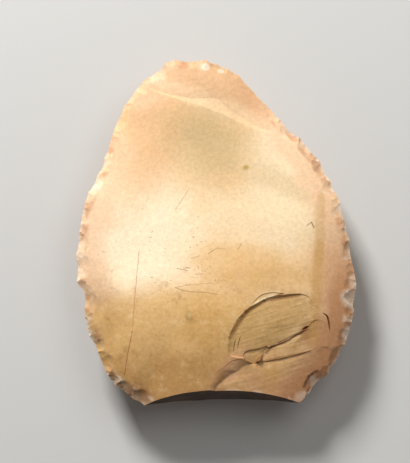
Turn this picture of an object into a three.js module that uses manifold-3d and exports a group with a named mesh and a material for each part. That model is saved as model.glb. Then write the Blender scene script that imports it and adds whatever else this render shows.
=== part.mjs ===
// A hand axe made on one large flake of pale flint, shaped by blows along its edge.
// It lies on its back: the smooth face that split from the core is up, the tip points to +Y
// and the struck butt to -Y. Millimetres, +Z up, origin under the middle of the stone.
import * as THREE from "three";
import { mergeVertices } from "three/addons/utils/BufferGeometryUtils.js";
import Module from "manifold-3d";

const wasm = await Module();
wasm.setup();

// Overall sizes of the stone
const LENGTH = 130; // butt to tip
const WIDTH = 106; // across the widest part
const EDGE_HEIGHT = 16.5; // cutting edge above the resting spot
const TIP_DROP = 2.2; // how much lower the edge runs at the tip
const EDGE_WAVE = 0.7; // how far the edge wanders up and down
const FACE_RISE = 5.4; // upper face above the edge
const BULB_RISE = 3.8; // extra height of the swelling left by the blow
const HOLLOW_DEPTH = 1.6; // dip between the swelling and the tip
const EDGE_SPARE = 0.3; // width of edge that the small blows take off all round

// The butt, a hollow facet that leans out under the upper face
const BUTT_RADIUS = 120; // of the hollow
const BUTT_SETBACK = 60.2; // deepest part of the hollow, from the middle of the length
const BUTT_CENTRE_X = 4.5;
const BUTT_LEAN = THREE.MathUtils.degToRad(15);

// How far the underside is flat, as a share of the way out to the edge
const FLAT_SPOT = 0.3;
const FACE_ROLL = 5; // power with which the upper face rolls down to the edge
const BELLY_CLIMB = 1.6; // power with which the underside climbs to the edge

// How finely the stone is drawn
const EDGE_POINTS = 84;
const BUTT_POINTS = 12;
const FACE_RINGS = [0.94, 0.86, 0.75, 0.62, 0.48, 0.32, 0.16];
const BELLY_RINGS = [FLAT_SPOT, 0.45, 0.6, 0.76, 0.9];

// Worked edge, from the left butt corner over the tip to the right butt corner,
// across in half widths and along in lengths
const EDGE_SHAPE = [
  [-0.52, -0.503],
  [-0.68, -0.47],
  [-0.785, -0.418],
  [-0.848, -0.346],
  [-0.925, -0.288],
  [-0.966, -0.2],
  [-1.0, -0.09],
  [-0.978, 0.0],
  [-0.917, 0.112],
  [-0.812, 0.204],
  [-0.736, 0.29],
  [-0.61, 0.402],
  [-0.506, 0.46],
  [-0.336, 0.506],
  [-0.17, 0.51],
  [-0.05, 0.507],
  [0.118, 0.478],
  [0.283, 0.404],
  [0.47, 0.326],
  [0.702, 0.231],
  [0.819, 0.148],
  [0.902, 0.062],
  [0.958, -0.035],
  [0.998, -0.15],
  [0.992, -0.223],
  [0.93, -0.319],
  [0.823, -0.412],
  [0.638, -0.488],
];
// The flake before its butt was struck off clean
const BUTT_SHAPE = [
  [0.33, -0.582],
  [-0.22, -0.592],
];

// Scars on the upper face that start at the edge: bearing in degrees round the middle
// (0 right, 90 tip, 180 left), then reach inward, width and depth in lengths, and turn
const FACE_SCARS = [
  [117, 0.045, 0.07, 0.01, 10],
  [108.4, 0.055, 0.056, 0.012, -8],
  [96.6, 0.027, 0.035, 0.005, 0],
  [92.8, 0.03, 0.023, 0.005, 0],
  [83.1, 0.027, 0.054, 0.003, 0],
  [73.8, 0.023, 0.05, 0.002, 0],
  [63.9, 0.023, 0.05, 0.002, 0],
  [55.9, 0.023, 0.031, 0.003, 0],
  [45.5, 0.038, 0.062, 0.003, 12],
  [32.6, 0.038, 0.062, 0.004, 0],
  [21.5, 0.023, 0.054, 0.0025, 0],
  [6, 0.023, 0.06, 0.0025, 0],
  [-5.7, 0.023, 0.054, 0.002, 0],
  [-13.7, 0.027, 0.05, 0.0025, 0],
  [-23, 0.046, 0.046, 0.006, 0],
  [-28.5, 0.025, 0.054, 0.0025, 0],
  [-35.5, 0.035, 0.062, 0.004, 0],
  [-43.7, 0.032, 0.062, 0.0045, 0],
  [-50.7, 0.03, 0.05, 0.003, 0],
  [-55, 0.03, 0.048, 0.005, 5],
  [127, 0.023, 0.054, 0.0025, 0],
  [136.8, 0.023, 0.05, 0.0025, 0],
  [144.2, 0.023, 0.054, 0.003, 0],
  [152.6, 0.027, 0.06, 0.004, 0],
  [162.3, 0.023, 0.06, 0.0025, 0],
  [171.7, 0.027, 0.062, 0.0025, 0],
  [190, 0.05, 0.077, 0.005, -6],
  [203.9, 0.06, 0.075, 0.0045, 0],
  [211.1, 0.038, 0.054, 0.004, 0],
  [216.6, 0.03, 0.038, 0.0035, 0],
  [221.3, 0.035, 0.042, 0.0045, 0],
  [224.9, 0.032, 0.038, 0.0045, 0],
  [228.5, 0.035, 0.042, 0.0045, 0],
  [232.3, 0.032, 0.038, 0.0045, 0],
  [239.2, 0.038, 0.06, 0.003, 0],
];

// Flakes lifted off inside a line on the upper face, anticlockwise: each point of the rim
// across in half widths, along in lengths, the depth there and the run of its wall in
// lengths. A floor with a high sag only sinks close to its rim. A hollow wall curves down
// inside the rim, any other rises outside it.
const LIFTED_FLAKES = {
  tipScar: {
    sag: 2,
    hollow: true,
    rim: [
      [-0.5, 0.422, 0.003, 0.012],
      [-0.29, 0.386, 0.005, 0.028],
      [-0.114, 0.365, 0.0055, 0.036],
      [0.064, 0.337, 0.0055, 0.04],
      [0.2, 0.31, 0.0045, 0.04],
      [0.33, 0.29, 0.003, 0.034],
      [0.46, 0.285, 0.0012, 0.022],
      [0.6, 0.34, 0.0012, 0.01],
      [0.44, 0.5, 0.0034, 0.002],
      [0.05, 0.62, 0.0034, 0.002],
      [-0.33, 0.62, 0.0034, 0.002],
      [-0.62, 0.49, 0.0028, 0.002],
    ],
  },
  lowRight: {
    sag: 2.5,
    hollow: false,
    rim: [
      [0.0, -0.52, 0.012, 0.014],
      [0.3, -0.54, 0.008, 0.002],
      [0.62, -0.54, 0.005, 0.002],
      [0.86, -0.46, 0.0008, 0.008],
      [0.88, -0.37, 0.0004, 0.008],
      [0.756, -0.34, 0.0012, 0.006],
      [0.656, -0.352, 0.004, 0.004],
      [0.535, -0.367, 0.007, 0.003],
      [0.414, -0.378, 0.009, 0.003],
      [0.292, -0.387, 0.009, 0.008],
      [0.214, -0.393, 0.007, 0.036],
      [0.157, -0.41, 0.0075, 0.046],
      [0.107, -0.419, 0.008, 0.046],
      [0.043, -0.439, 0.0075, 0.034],
      [-0.007, -0.463, 0.007, 0.022],
    ],
  },
  secondStep: {
    sag: 1.5,
    hollow: false,
    rim: [
      [0.292, -0.4, 0.008, 0.001],
      [0.414, -0.39, 0.0055, 0.001],
      [0.535, -0.378, 0.004, 0.001],
      [0.656, -0.363, 0.002, 0.001],
      [0.75, -0.347, 0.0008, 0.004],
      [0.785, -0.32, 0.0003, 0.008],
      [0.78, -0.288, 0.0003, 0.008],
      [0.73, -0.266, 0.0005, 0.004],
      [0.68, -0.268, 0.002, 0.001],
      [0.642, -0.288, 0.0055, 0.0015],
      [0.563, -0.306, 0.008, 0.0015],
      [0.485, -0.326, 0.009, 0.0015],
      [0.385, -0.34, 0.0095, 0.0015],
      [0.342, -0.349, 0.0095, 0.001],
      [0.321, -0.37, 0.0095, 0.001],
      [0.3, -0.385, 0.009, 0.001],
    ],
  },
  bulbScar: {
    sag: 1,
    hollow: true,
    rim: [
      [0.1, -0.368, 0.003, 0.012],
      [0.17, -0.373, 0.003, 0.006],
      [0.25, -0.373, 0.004, 0.001],
      [0.33, -0.362, 0.005, 0.001],
      [0.385, -0.352, 0.0055, 0.001],
      [0.485, -0.337, 0.005, 0.001],
      [0.563, -0.316, 0.0045, 0.001],
      [0.642, -0.298, 0.003, 0.001],
      [0.685, -0.262, 0.0004, 0.001],
      [0.688, -0.222, 0.0004, 0.001],
      [0.656, -0.197, 0.001, 0.003],
      [0.586, -0.188, 0.003, 0.006],
      [0.478, -0.191, 0.005, 0.009],
      [0.376, -0.197, 0.0065, 0.011],
      [0.289, -0.2145, 0.0065, 0.013],
      [0.209, -0.2375, 0.0065, 0.015],
      [0.143, -0.2665, 0.006, 0.018],
      [0.098, -0.305, 0.005, 0.022],
      [0.088, -0.34, 0.004, 0.02],
    ],
  },
  cornerChip: {
    sag: 1,
    hollow: true,
    rim: [
      [0.799, -0.432, 0.005, 0.003],
      [0.742, -0.425, 0.008, 0.005],
      [0.696, -0.434, 0.01, 0.006],
      [0.665, -0.446, 0.011, 0.006],
      [0.64, -0.463, 0.011, 0.006],
      [0.628, -0.48, 0.01, 0.006],
      [0.628, -0.497, 0.008, 0.004],
      [0.678, -0.508, 0.006, 0.002],
      [0.742, -0.477, 0.007, 0.002],
      [0.813, -0.448, 0.006, 0.002],
    ],
  },
};

// Underside: large scars struck towards the middle, then a row of small ones along the edge
const BIG_SCARS = 9;
const BIG_SCAR = { place: 0.64, reach: 0.22, width: 0.165, depth: 0.034 };
const SMALL_SCARS = 38;
const SMALL_SCAR = { reach: 0.055, width: 0.064, depth: 0.0025 };

const STONE = { color: 0xe6c79c, roughness: 0.62, metalness: 0 };

const middle = new THREE.Vector2(0, -0.03 * LENGTH);
const up = new THREE.Vector3(0, 0, 1);
const inPlan = ([across, along]) => new THREE.Vector2((across * WIDTH) / 2, along * LENGTH);

// The worked edge is drawn a little too wide, because the scars along it take the rest off
function blankOutline() {
  const edge = new THREE.SplineCurve(EDGE_SHAPE.map(inPlan));
  const butt = [EDGE_SHAPE.at(-1), ...BUTT_SHAPE, EDGE_SHAPE[0]].map(inPlan);
  const line = [
    ...edge.getSpacedPoints(EDGE_POINTS).slice(0, -1),
    ...new THREE.SplineCurve(butt).getSpacedPoints(BUTT_POINTS).slice(0, -1),
  ];
  for (const point of line) {
    const out = point.clone().sub(middle);
    point.add(out.setLength(EDGE_SPARE));
  }
  return line.reverse();
}
const outline = blankOutline();

// The outline's point in the direction of a point, seen from the middle
function edgeTowards(x, y) {
  const way = new THREE.Vector2(x - middle.x, y - middle.y);
  for (let i = 0; i < outline.length; i += 1) {
    const a = outline[i].clone().sub(middle);
    const b = outline[(i + 1) % outline.length].clone().sub(middle);
    const shareA = way.cross(b) / a.cross(b);
    const shareB = a.cross(way) / a.cross(b);
    if (shareA >= 0 && shareB >= 0) {
      return way.divideScalar(shareA + shareB);
    }
  }
  return way;
}

// How far out a point lies: 0 in the middle, 1 on the outline
function shareOut(x, y) {
  const distance = Math.hypot(x - middle.x, y - middle.y);
  return distance > 0 ? Math.min(1, distance / edgeTowards(x, y).length()) : 0;
}

// The level of the edge, carried inwards under the whole stone
function edgeZ(x, y) {
  const angle = Math.atan2(y - middle.y, x - middle.x);
  const wave = (Math.sin(3 * angle + 0.6) + 0.5 * Math.sin(7 * angle)) * shareOut(x, y) ** 3;
  return EDGE_HEIGHT + EDGE_WAVE * wave - TIP_DROP * THREE.MathUtils.smoothstep(y, 0, LENGTH / 2);
}

// A rounded rise of height 1 at a place given in half widths and lengths
function swelling(x, y, across, along, wide, long) {
  const centre = inPlan([across, along]);
  const dx = (x - centre.x) / ((wide * WIDTH) / 2);
  const dy = (y - centre.y) / (long * LENGTH);
  return Math.exp(-dx * dx - dy * dy);
}

// The smooth face that split from the core
function faceZ(x, y) {
  const bulb = BULB_RISE * swelling(x, y, -0.15, -0.24, 0.85, 0.19);
  const hollow = HOLLOW_DEPTH * swelling(x, y, 0, 0.24, 0.64, 0.16);
  const rise = FACE_RISE + bulb - hollow;
  return edgeZ(x, y) + rise * (1 - shareOut(x, y) ** FACE_ROLL);
}

// The underside, before its flakes were struck
function bellyZ(x, y) {
  const beyondFlat = Math.max(0, (shareOut(x, y) - FLAT_SPOT) / (1 - FLAT_SPOT));
  return edgeZ(x, y) * beyondFlat ** BELLY_CLIMB;
}

const on = (height, point) => new THREE.Vector3(point.x, point.y, height(point.x, point.y));

function toManifold(geometry) {
  geometry.deleteAttribute("normal");
  geometry.deleteAttribute("uv");
  const merged = mergeVertices(geometry);
  const vertProperties = new Float32Array(merged.attributes.position.array);
  const triVerts = new Uint32Array(merged.index.array);
  return new wasm.Manifold(new wasm.Mesh({ numProp: 3, vertProperties, triVerts }));
}

// A closed body from one end point, through rings of equal count, to the other end point
function shell(first, rings, last) {
  const around = rings[0].length;
  const points = [first, ...rings.flat(), last];
  const faces = [];
  for (let i = 0; i < around; i += 1) {
    const j = (i + 1) % around;
    faces.push(0, 1 + j, 1 + i);
    for (let r = 0; r < rings.length - 1; r += 1) {
      const low = 1 + r * around;
      const high = low + around;
      faces.push(low + i, low + j, high + j, low + i, high + j, high + i);
    }
    const top = 1 + (rings.length - 1) * around;
    faces.push(top + i, top + j, points.length - 1);
  }
  const vertProperties = new Float32Array(points.flatMap((p) => [p.x, p.y, p.z]));
  const triVerts = new Uint32Array(faces);
  return new wasm.Manifold(new wasm.Mesh({ numProp: 3, vertProperties, triVerts }));
}

function blank() {
  const ringAt = (share, height) =>
    outline.map((point) => on(height, middle.clone().lerp(point, share)));
  const rings = [
    ...BELLY_RINGS.map((share) => ringAt(share, bellyZ)),
    ringAt(1, edgeZ),
    ...FACE_RINGS.map((share) => ringAt(share, faceZ)),
  ];
  return shell(on(bellyZ, middle), rings, on(faceZ, middle));
}

// A shallow bowl that bites into the stone: depth below the centre point, then out past
// its rim and closed well clear of the stone
function bowl(centre, inward, outward, semiLong, semiWide, depth) {
  const sideways = outward.clone().cross(inward).normalize();
  const large = semiWide > 0.1 * LENGTH;
  const around = large ? 18 : 10;
  const at = (share, lift) =>
    Array.from({ length: around }, (_, i) => {
      const angle = (2 * Math.PI * i) / around;
      return centre
        .clone()
        .addScaledVector(inward, share * semiLong * Math.cos(angle))
        .addScaledVector(sideways, share * semiWide * Math.sin(angle))
        .addScaledVector(outward, lift);
    });
  const shares = large ? [0.4, 0.72, 1, 1.25] : [0.6, 1, 1.25];
  const floor = shares.map((share) => at(share, depth * (share * share - 1)));
  const clear = 0.5 * semiWide + depth;
  const bottom = centre.clone().addScaledVector(outward, -depth);
  const top = centre.clone().addScaledVector(outward, clear);
  return shell(bottom, [...floor, at(1.25, clear)], top);
}

// Which way a surface faces at a point of the plan; side is 1 for the upper face, -1 for
// the underside
function facing(height, place, side) {
  const step = 0.02 * LENGTH;
  const rise = (dx, dy) =>
    height(place.x + dx * step, place.y + dy * step) -
    height(place.x - dx * step, place.y - dy * step);
  const normal = new THREE.Vector3(-rise(1, 0), -rise(0, 1), 2 * step);
  return normal.normalize().multiplyScalar(side);
}

// A bowl set on a surface, its long axis at a heading in the plan
function bowlOn(height, side, place, heading, semiLong, semiWide, depth) {
  const outward = facing(height, place, side);
  const angle = THREE.MathUtils.degToRad(heading);
  const inward = new THREE.Vector3(Math.cos(angle), Math.sin(angle), 0);
  inward.addScaledVector(outward, -inward.dot(outward)).normalize();
  return bowl(on(height, place), inward, outward, semiLong, semiWide, depth);
}

// The place on the outline at a bearing, moved in towards the middle
function edgePlace(bearing, inset) {
  const angle = THREE.MathUtils.degToRad(bearing);
  const way = edgeTowards(middle.x + Math.cos(angle), middle.y + Math.sin(angle));
  return way.setLength(way.length() - inset).add(middle);
}

// A scar struck from the edge on to one face
function edgeScar(height, side, bearing, reach, width, depth, turn) {
  const start = on(height, edgePlace(bearing, 0));
  const inward = on(height, edgePlace(bearing, reach)).sub(start);
  const edgeRun = on(height, edgePlace(bearing + 2, 0));
  edgeRun.sub(on(height, edgePlace(bearing - 2, 0))).normalize();
  inward.addScaledVector(edgeRun, -inward.dot(edgeRun)).normalize();
  const outward = new THREE.Vector3().crossVectors(inward, edgeRun).normalize();
  if (outward.z * side < 0) outward.negate();
  inward.applyAxisAngle(outward, THREE.MathUtils.degToRad(turn));
  const inset = 0.15 * reach;
  const centre = start.addScaledVector(inward, inset);
  return bowl(centre, inward, outward, reach - inset, width / 2, depth);
}

// A flake lifted off inside a line, its floor a little below the upper face
function liftedFlake({ sag, hollow, rim }) {
  const heart = new THREE.Vector2();
  for (const point of rim) heart.addScaledVector(inPlan(point), 1 / rim.length);
  const heartDepth = rim.reduce((sum, [, , depth]) => sum + depth, 0) / rim.length;
  const clear = 0.03 * LENGTH;
  const wallAt = (point, share) => {
    const out = inPlan(point).sub(heart);
    const beyond = LENGTH * point[3] * (hollow ? share - 1 : share);
    return out.setLength(out.length() + beyond).add(heart);
  };
  const floorAt = (share) =>
    rim.map((point) => {
      const place = heart.clone().lerp(wallAt(point, 0), share);
      const deep = THREE.MathUtils.lerp(heartDepth, point[2], share ** sag);
      return on(faceZ, place).addScaledVector(up, -LENGTH * deep);
    });
  const halfway = rim.map((point) =>
    on(faceZ, wallAt(point, 0.5)).addScaledVector(up, -LENGTH * point[2] * 0.75),
  );
  const wallTop = rim.map((point) => on(faceZ, wallAt(point, 1)));
  const wall = hollow ? [halfway, wallTop] : [wallTop];
  const lid = wallTop.map((point) => point.clone().addScaledVector(up, clear));
  const bottom = on(faceZ, heart).addScaledVector(up, -heartDepth * LENGTH);
  const top = on(faceZ, heart).addScaledVector(up, clear);
  return shell(bottom, [floorAt(0.35), floorAt(0.7), floorAt(1), ...wall, lid], top);
}

// The struck butt is the side of a large leaning round
function buttCutter() {
  const round = new THREE.CylinderGeometry(BUTT_RADIUS, BUTT_RADIUS, LENGTH, 110);
  round.rotateX(Math.PI / 2 - BUTT_LEAN);
  const away = BUTT_SETBACK + BUTT_RADIUS / Math.cos(BUTT_LEAN);
  round.translate(BUTT_CENTRE_X, -away, EDGE_HEIGHT + FACE_RISE);
  return toManifold(round);
}

// Even but unlike steps between 0 and 1, so that no two scars are the same
const vary = (i, seed) => (i * 0.618034 + seed * 0.414214) % 1;

function undersideScars() {
  const scars = [];
  for (let i = 0; i < BIG_SCARS; i += 1) {
    const bearing = (360 / BIG_SCARS) * (i + 0.5 * vary(i, 1));
    const size = LENGTH * (0.85 + 0.3 * vary(i, 2));
    const { reach, width, depth } = BIG_SCAR;
    const place = middle.clone().lerp(edgePlace(bearing, 0), BIG_SCAR.place);
    const heading = bearing + 180 + 40 * vary(i, 3) - 20;
    scars.push(bowlOn(bellyZ, -1, place, heading, reach * size, width * size, depth * size));
  }
  for (let i = 0; i < SMALL_SCARS; i += 1) {
    const bearing = (360 / SMALL_SCARS) * (i + 0.6 * vary(i, 4));
    const size = LENGTH * (0.7 + 0.6 * vary(i, 5));
    const { reach, width, depth } = SMALL_SCAR;
    const turn = 40 * vary(i, 6) - 20;
    scars.push(edgeScar(bellyZ, -1, bearing, reach * size, width * size, depth * size, turn));
  }
  return scars;
}

function faceScars() {
  return FACE_SCARS.map(([bearing, reach, width, depth, turn]) =>
    edgeScar(faceZ, 1, bearing, reach * LENGTH, width * LENGTH, depth * LENGTH, turn),
  );
}

function knapped() {
  const blows = [
    buttCutter(),
    ...undersideScars(),
    ...Object.values(LIFTED_FLAKES).map(liftedFlake),
    ...faceScars(),
  ];
  return blows.reduce((stone, blow) => stone.subtract(blow), blank());
}

function handAxe() {
  const { vertProperties, triVerts } = knapped().getMesh();
  const geometry = new THREE.BufferGeometry();
  geometry.setAttribute("position", new THREE.BufferAttribute(vertProperties, 3));
  geometry.setIndex(new THREE.BufferAttribute(triVerts, 1));
  geometry.computeBoundingBox();
  const { min, max } = geometry.boundingBox;
  geometry.translate(-(min.x + max.x) / 2, -(min.y + max.y) / 2, -min.z);
  const mesh = new THREE.Mesh(geometry, new THREE.MeshStandardMaterial(STONE));
  mesh.name = "hand_axe";
  return mesh;
}

const model = new THREE.Group();
model.add(handAxe());

export default model;
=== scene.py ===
import math
import time
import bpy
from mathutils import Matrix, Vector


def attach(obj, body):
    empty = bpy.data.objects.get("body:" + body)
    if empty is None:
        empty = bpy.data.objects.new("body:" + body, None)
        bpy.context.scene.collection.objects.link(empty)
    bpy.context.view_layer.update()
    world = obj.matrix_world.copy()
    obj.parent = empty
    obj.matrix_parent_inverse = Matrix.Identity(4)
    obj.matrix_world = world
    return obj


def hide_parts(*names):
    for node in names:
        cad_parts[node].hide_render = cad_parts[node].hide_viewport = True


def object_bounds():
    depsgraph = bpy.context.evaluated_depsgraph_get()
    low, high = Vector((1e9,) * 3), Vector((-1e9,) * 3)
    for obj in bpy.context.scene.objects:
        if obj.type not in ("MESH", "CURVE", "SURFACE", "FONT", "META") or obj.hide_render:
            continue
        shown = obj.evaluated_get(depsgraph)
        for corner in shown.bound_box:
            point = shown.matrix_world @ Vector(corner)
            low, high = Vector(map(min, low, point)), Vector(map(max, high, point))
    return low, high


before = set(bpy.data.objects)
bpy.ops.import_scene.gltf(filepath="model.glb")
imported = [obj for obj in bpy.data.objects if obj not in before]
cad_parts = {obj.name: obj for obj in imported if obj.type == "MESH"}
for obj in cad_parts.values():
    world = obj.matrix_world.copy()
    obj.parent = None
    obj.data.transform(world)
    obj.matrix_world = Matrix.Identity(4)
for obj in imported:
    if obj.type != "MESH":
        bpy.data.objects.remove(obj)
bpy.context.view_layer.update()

from types import SimpleNamespace

import bmesh
import bpy
import numpy as np
from mathutils import Matrix, Vector, noise
from mathutils.bvhtree import BVHTree
from mathutils.kdtree import KDTree

started = time.time()


def report(stage):
    print(f"{stage}: {time.time() - started:.1f} s")


# The stone lies with the face that split from the core up, tip to +Y, butt to -Y.
# It is worked out in millimetres and turned to metres when its mesh is done.
stone = {
    "length": 130.0,
    "width": 106.0,
    "edgeHeight": 16.5,
    "tipDrop": 2.2,  # how much lower the edge runs at the tip
    "edgeWave": 0.7,
    "faceRise": 5.4,
    "bulbRise": 3.8,
    "bulb": (-0.15, -0.24, 0.85, 0.19),  # place and size, in half widths and lengths
    "hollowDepth": 1.6,
    "hollow": (0, 0.24, 0.64, 0.16),
    "edgeSpare": 0.6,  # width of edge that the smallest chips take off again
    "flatSpot": 0.3,  # share of the underside that is flat
    "faceRoll": 5.0,
    "bellyClimb": 1.6,
    "edgePoints": 380,
    "buttPoints": 56,
    "faceRings": 36,
    "bellyRings": 20,
    "undulation": 0.2,
    "undulationSize": 17,
    "ripple": 0.012,
    "rippleRun": (5, 0.06),  # from crest to crest at the blow, and how that grows away from it
    "sharpAngle": 32,
}
# Worked edge from the left butt corner over the tip to the right butt corner,
# across in half widths and along in lengths
edgeShape = [
    (-0.52, -0.503), (-0.68, -0.47), (-0.785, -0.418), (-0.848, -0.346), (-0.925, -0.288),
    (-0.966, -0.2), (-1.0, -0.09), (-0.978, 0.0), (-0.917, 0.112), (-0.812, 0.204),
    (-0.736, 0.29), (-0.61, 0.402), (-0.506, 0.46), (-0.336, 0.506), (-0.17, 0.51),
    (-0.05, 0.507), (0.118, 0.478), (0.283, 0.404), (0.47, 0.326), (0.702, 0.231),
    (0.819, 0.148), (0.902, 0.062), (0.958, -0.035), (0.998, -0.15), (0.992, -0.223),
    (0.93, -0.319), (0.823, -0.412), (0.638, -0.488),
]
# The flake before its butt was struck off
buttShape = [(0.33, -0.582), (-0.22, -0.592)]

length = stone["length"]
thousandth = length / 1000
halfWidth = stone["width"] / 2
middle = np.array([0.0, -0.03 * length])
percussion = np.array([0.0, -0.455 * length])  # where the blow landed that split the flake off


def inPlan(across, along):
    return np.array([across * halfWidth, along * length])


def smoothLine(points, count, closed=False):
    # evenly spaced points on a smooth curve through the given ones
    points = np.asarray(points, float)
    spans = len(points) if closed else len(points) - 1
    t = np.linspace(0, spans, 40 * spans + 1)
    i = np.minimum(t.astype(int), spans - 1)
    w = (t - i)[:, None]
    if closed:
        p0, p1, p2, p3 = (points[(i + k) % len(points)] for k in (-1, 0, 1, 2))
    else:
        p0, p1, p2, p3 = (points[np.clip(i + k, 0, spans)] for k in (-1, 0, 1, 2))
    v0, v1 = (p2 - p0) / 2, (p3 - p1) / 2
    line = (2 * p1 - 2 * p2 + v0 + v1) * w**3 + (3 * p2 - 3 * p1 - 2 * v0 - v1) * w**2 + v0 * w + p1
    gone = np.concatenate([[0], np.cumsum(np.linalg.norm(np.diff(line, axis=0), axis=1))])
    even = np.linspace(0, gone[-1], count + 1)
    return np.stack([np.interp(even, gone, line[:, k]) for k in range(line.shape[1])], 1)


def blankOutline():
    edge = [inPlan(*p) for p in edgeShape]
    butt = [edge[-1], *[inPlan(*p) for p in buttShape], edge[0]]
    line = np.vstack([
        smoothLine(edge, stone["edgePoints"])[:-1],
        smoothLine(butt, stone["buttPoints"])[:-1],
    ])
    out = line - middle
    line = line + out / np.linalg.norm(out, axis=1)[:, None] * stone["edgeSpare"]
    return line[::-1]  # anticlockwise, seen from above


outline = blankOutline()
outlineBearing = np.arctan2(outline[:, 1] - middle[1], outline[:, 0] - middle[0])
outlineReach = np.linalg.norm(outline - middle, axis=1)


def reachAt(angle):
    return np.interp(angle, outlineBearing, outlineReach, period=2 * math.pi)


def shareOut(x, y):
    dx, dy = x - middle[0], y - middle[1]
    return np.minimum(1, np.hypot(dx, dy) / reachAt(np.arctan2(dy, dx)))


def smoothStep(x, low, high):
    t = np.clip((x - low) / (high - low), 0, 1)
    return t * t * (3 - 2 * t)


def swelling(x, y, across, along, wide, long):
    x0, y0 = inPlan(across, along)
    return np.exp(-(((x - x0) / (wide * halfWidth)) ** 2) - ((y - y0) / (long * length)) ** 2)


def edgeZ(x, y):
    angle = np.arctan2(y - middle[1], x - middle[0])
    wave = (np.sin(3 * angle + 0.6) + 0.5 * np.sin(7 * angle)) * shareOut(x, y) ** 3
    drop = stone["tipDrop"] * smoothStep(y, 0, length / 2)
    return stone["edgeHeight"] + stone["edgeWave"] * wave - drop


def faceZ(x, y):
    bulb = stone["bulbRise"] * swelling(x, y, *stone["bulb"])
    hollow = stone["hollowDepth"] * swelling(x, y, *stone["hollow"])
    rise = stone["faceRise"] + bulb - hollow
    return edgeZ(x, y) + rise * (1 - shareOut(x, y) ** stone["faceRoll"])


def bellyZ(x, y):
    flat = stone["flatSpot"]
    beyondFlat = np.maximum(0, (shareOut(x, y) - flat) / (1 - flat))
    return edgeZ(x, y) * beyondFlat ** stone["bellyClimb"]


def on(height, place):
    place = np.asarray(place, float)
    x, y = place[..., 0], place[..., 1]
    return np.stack([x, y, height(x, y)], -1)


def cloud(points, size, seed=0.0):
    # soft random values from -1 to 1 at each point, in lumps of the given size
    flat = np.asarray(points, float).reshape(-1, 3) / size + seed
    values = [noise.noise(p) for p in flat.tolist()]
    return np.array(values).reshape(np.asarray(points).shape[:-1])


def vary(i, seed):
    # even but unlike steps between 0 and 1
    return (i * 0.618034 + seed * 0.414214) % 1


def shell(bottom, rings, top):
    # a closed body from one end point, through equal rings, to the other
    rings = np.asarray(rings, float)
    count, around = rings.shape[:2]
    points = np.vstack([[bottom], rings.reshape(-1, 3), [top]])
    i = np.arange(around)
    j = (i + 1) % around
    faces = [np.stack([0 * i, 1 + j, 1 + i], 1)]
    for r in range(count - 1):
        low = 1 + r * around
        high = low + around
        faces += [np.stack([low + i, low + j, high + j], 1), np.stack([low + i, high + j, high + i], 1)]
    last = 1 + (count - 1) * around
    faces.append(np.stack([last + i, last + j, 0 * i + len(points) - 1], 1))
    return points, np.vstack(faces)


def blank():
    def ringAt(share, height):
        return on(height, middle + share * (outline - middle))

    flat = stone["flatSpot"]
    belly = [ringAt(s, bellyZ) for s in np.linspace(flat, 1, stone["bellyRings"])[:-1]]
    shares = 1 - np.linspace(0, 0.97, stone["faceRings"]) ** 1.25
    face = [ringAt(s, faceZ) for s in shares[1:]]
    rings = np.array([*belly, ringAt(1, edgeZ), *face])
    lump = stone["undulation"] * cloud(rings, stone["undulationSize"])
    away = np.linalg.norm(rings[..., :2] - percussion, axis=-1)
    run, growth = stone["rippleRun"]
    waves = stone["ripple"] * np.sin(2 * math.pi * away / (run + growth * away))
    upper = np.arange(len(rings)) > len(belly)
    rings[..., 2] += np.where(upper[:, None], lump + waves, 0)
    climbing = (np.arange(len(rings)) > 0) & (np.arange(len(rings)) < len(belly))
    rings[..., 2] += np.where(climbing[:, None], np.maximum(lump, -0.5 * rings[..., 2]), 0)
    return shell(on(bellyZ, middle), rings, on(faceZ, middle) + [0, 0, lump[-1].mean()])


# Cutters: each is a closed body, and what it takes off leaves a scar
scar = {
    "rimUneven": (0.1, 0.06),  # in large and small lobes
    "waves": 2.6,
    "waveDepth": 0.02,  # in depths of the scar
    "lumpDepth": 0.05,  # the same, with the most in millimetres next
    "lumpMost": 0.12,
    "inset": 0.15,  # share of its reach that a scar starts inside the edge
}


def bowl(centre, inward, outward, semiLong, semiWide, depth, seed, fine=0.7):
    # a shallow scoop with an uneven rim and faint ripples, closed well above the stone
    sideways = np.cross(outward, inward)
    sideways /= np.linalg.norm(sideways)
    around = int(np.clip(2 * math.pi * max(semiLong, semiWide) / fine, 12, 90))
    ringCount = int(np.clip(max(semiLong, semiWide) / fine, 3, 26))
    angle = np.linspace(0, 2 * math.pi, around, endpoint=False)
    large, small = scar["rimUneven"]
    rim = 1 + large * np.sin(2 * angle + 9 * seed) + small * np.sin(5 * angle + 23 * seed)
    shares = np.concatenate([np.linspace(0, 1, ringCount + 1)[1:], [1.12, 1.3]])
    rings = []
    for share in shares:
        alongIn = share * rim * semiLong * np.cos(angle)
        acrossIn = share * rim * semiWide * np.sin(angle)
        lift = depth * (share**2 - 1) * np.ones(around)
        fromEdge = np.hypot(alongIn + semiLong, acrossIn)
        wave = np.sin(2 * math.pi * (fromEdge / semiLong) ** 1.4 * scar["waves"] + 5 * seed)
        lift += scar["waveDepth"] * depth * wave * np.sin(3.3 * fromEdge / semiLong + seed)
        ring = centre + alongIn[:, None] * inward + acrossIn[:, None] * sideways
        lump = min(scar["lumpMost"], scar["lumpDepth"] * depth)
        lift += lump * cloud(ring, 0.45 * semiWide + 0.5, seed)
        rings.append(ring + lift[:, None] * outward)
    clear = 0.5 * semiWide + depth + 0.5
    lid = rings[-1] + (clear - depth * (shares[-1] ** 2 - 1)) * outward
    return shell(centre - depth * outward, [*rings, lid], centre + clear * outward)


def facing(height, place, side):
    step = 0.02 * length
    x, y = place
    normal = np.array([
        height(x - step, y) - height(x + step, y),
        height(x, y - step) - height(x, y + step),
        2 * step,
    ])
    return side * normal / np.linalg.norm(normal)


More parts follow.
